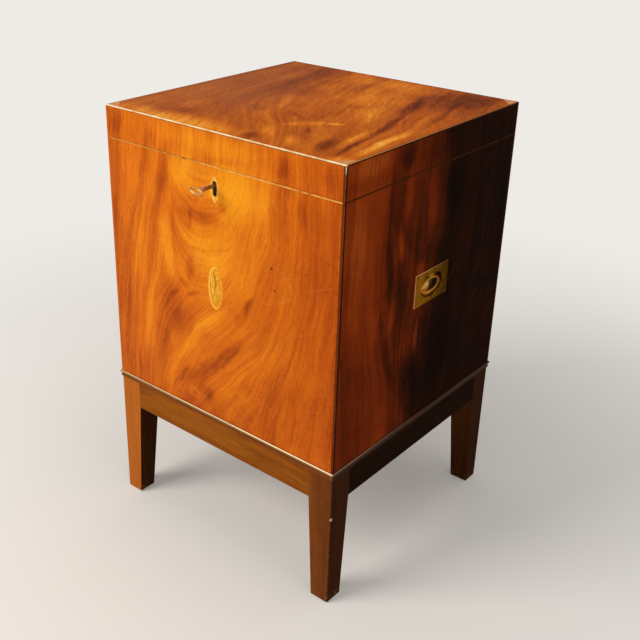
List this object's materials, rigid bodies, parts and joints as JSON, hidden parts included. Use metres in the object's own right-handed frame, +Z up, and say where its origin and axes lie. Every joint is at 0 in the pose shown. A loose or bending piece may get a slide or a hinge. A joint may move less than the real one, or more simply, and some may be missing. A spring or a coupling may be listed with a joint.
{
  "type": "cellarette",
  "caption": "Square veneered bottle chest with a hinged, locking lid, a key, bottle cells and flush drop-ring handles, lifting off a low stand with tapered legs.",
  "frame": {"origin": "on the floor, at the centre of the whole plan, with the key that stands out in front counted in", "axes": "+Z up, +X to the right along the front, +Y from the front to the back"},
  "size_m": [0.4344, 0.4692, 0.664],
  "materials": {
    "stand_wood": "worn shellac, dark mahogany",
    "moulding_wood": "worn shellac, mahogany with a lighter top edge",
    "carcase_wood": "bare mahogany",
    "front_veneer_wood": "shellac polish over flame-figured mahogany",
    "side_veneer_wood": "shellac polish over straight-grained mahogany",
    "top_veneer_wood": "shellac polish over figured mahogany",
    "patch_wood": "shellac polish over light mahogany",
    "dark_string_wood": "black-dyed stringing, worn at the arris",
    "pale_string_wood": "boxwood stringing",
    "patera_ground_wood": "satinwood inlay",
    "patera_leaf_wood": "sand-shaded inlay",
    "brass": "aged brass, brighter on the edges",
    "lock_iron": "plain iron",
    "key_iron": "old key with a brown patina"
  },
  "bodies": {
    "stand": {"leg_front_left": "stand_wood", "leg_front_right": "stand_wood", "leg_back_left": "stand_wood", "leg_back_right": "stand_wood", "apron_front": "stand_wood", "apron_back": "stand_wood", "apron_left": "stand_wood", "apron_right": "stand_wood", "stand_moulding": "moulding_wood"},
    "case": {"case_front_board": "carcase_wood", "case_back_board": "carcase_wood", "case_left_board": "carcase_wood", "case_right_board": "carcase_wood", "case_bottom_board": "carcase_wood", "dividers_fore_aft": "carcase_wood", "dividers_cross": "carcase_wood", "case_front_veneer": "front_veneer_wood", "case_left_veneer": "side_veneer_wood", "case_right_veneer": "side_veneer_wood", "case_back_veneer": "side_veneer_wood", "case_corner_strings": "dark_string_wood", "case_rim_strings": "pale_string_wood", "escutcheon": "pale_string_wood", "patera_border": "pale_string_wood", "patera_ground": "patera_ground_wood", "patera_leaves": "patera_leaf_wood", "handle_plate_left": "brass", "handle_plate_right": "brass", "handle_pins": "brass", "handle_screws": "brass", "hinge_case_leaves": "brass", "hinge_pins": "brass", "hinge_case_screws": "brass", "lock_plate": "brass", "lock_pan": "brass", "lock_screws": "brass", "lock_drill_pin": "lock_iron", "lock_spring": "lock_iron"},
    "lid": {"lid_top_board": "carcase_wood", "lid_front_rail": "carcase_wood", "lid_back_rail": "carcase_wood", "lid_left_rail": "carcase_wood", "lid_right_rail": "carcase_wood", "lid_top_veneer": "top_veneer_wood", "lid_corner_patches": "patch_wood", "lid_front_veneer": "front_veneer_wood", "lid_back_veneer": "side_veneer_wood", "lid_left_veneer": "side_veneer_wood", "lid_right_veneer": "side_veneer_wood", "lid_edge_strings": "pale_string_wood", "lid_corner_strings": "dark_string_wood", "link_plate": "brass", "link_plate_screws": "brass", "hinge_lid_leaves": "brass", "hinge_lid_screws": "brass"},
    "key": {"key": "key_iron"},
    "bolt": {"lock_bolt": "lock_iron"},
    "ring_left": {"handle_ring_left": "brass"},
    "ring_right": {"handle_ring_right": "brass"}
  },
  "joints": [
    {"name": "case_lift", "type": "slide", "parent": "stand", "child": "case", "axis": [0, 0, 1], "range_m": [0, 0.08]},
    {"name": "lid_hinge", "type": "hinge", "parent": "case", "child": "lid", "pos_m": [0, 0.23138, 0.617], "axis": [-1, 0, 0], "range_deg": [0, 98]},
    {"name": "key_turn", "type": "hinge", "parent": "case", "child": "key", "pos_m": [0, -0.19362, 0.5905], "axis": [0, -1, 0], "range_deg": [-75, 285]},
    {"name": "bolt_slide", "type": "slide", "parent": "case", "child": "bolt", "axis": [-1, 0, 0], "range_m": [-0.00167, 0.00633]},
    {"name": "ring_right_swing", "type": "hinge", "parent": "case", "child": "ring_right", "pos_m": [0.2126, 0.02288, 0.4528], "axis": [0, -1, 0], "range_deg": [0, 90]},
    {"name": "ring_left_swing", "type": "hinge", "parent": "case", "child": "ring_left", "pos_m": [-0.2126, 0.02288, 0.4528], "axis": [0, 1, 0], "range_deg": [0, 90]}
  ],
  "couplings": [
    {"joint": "bolt_slide", "follows": "key_turn", "m_per_rad": 0.0012732}
  ]
}
